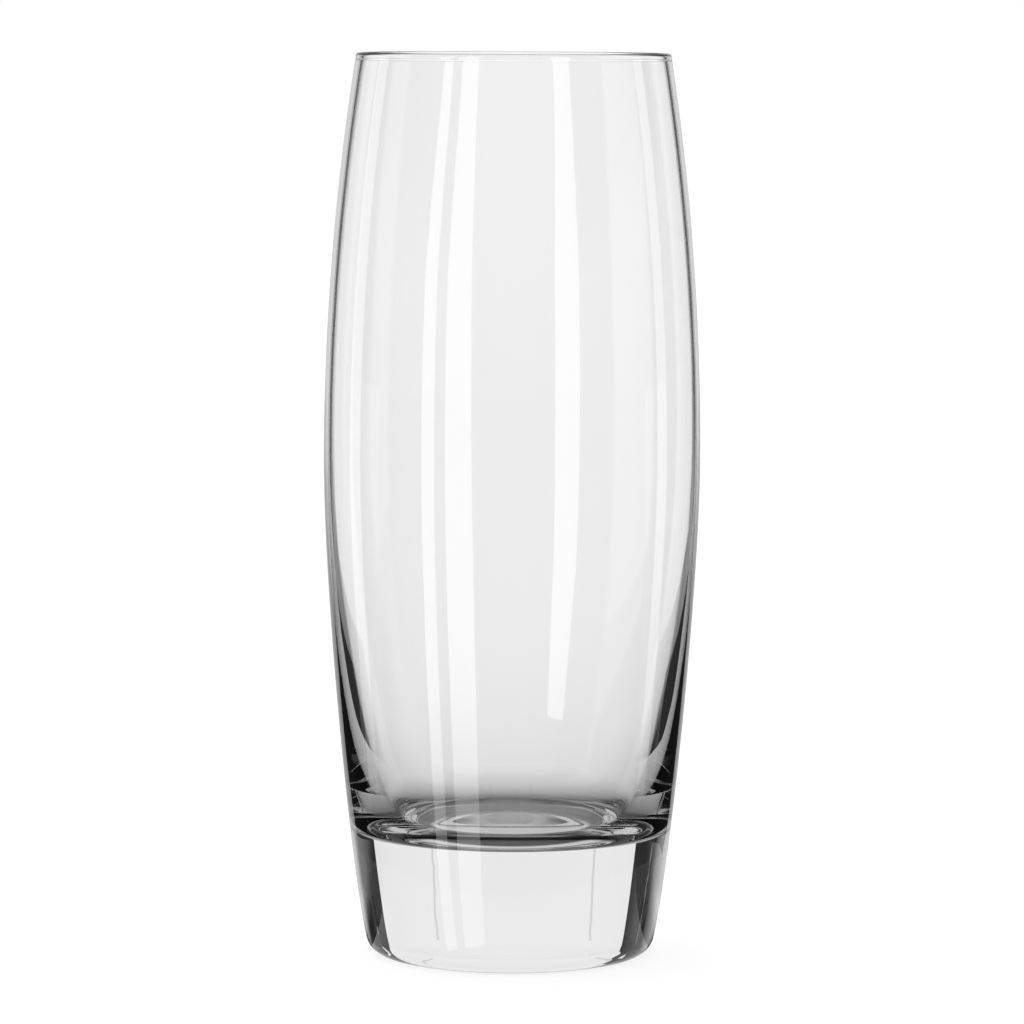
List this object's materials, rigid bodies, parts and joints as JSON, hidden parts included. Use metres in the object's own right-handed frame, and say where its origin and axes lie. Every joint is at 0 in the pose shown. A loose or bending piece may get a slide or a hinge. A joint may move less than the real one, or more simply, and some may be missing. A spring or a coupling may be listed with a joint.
{
  "type": "highball glass",
  "caption": "Tall barrel-shaped clear drinking glass with a thin wall, a beaded rim and a thick solid base, made in one piece of glass.",
  "frame": {"origin": "centre of the ring that the glass stands on, in the plane of the table", "axes": "+Z is the axis of the glass, upwards to the rim; the glass is round, so X and Y are free"},
  "size_m": [0.065, 0.065, 0.156],
  "materials": {
    "clear_glass": "clear soda-lime glass, fire polished"
  },
  "bodies": {
    "root": {"glass": "clear_glass"}
  },
  "joints": []
}
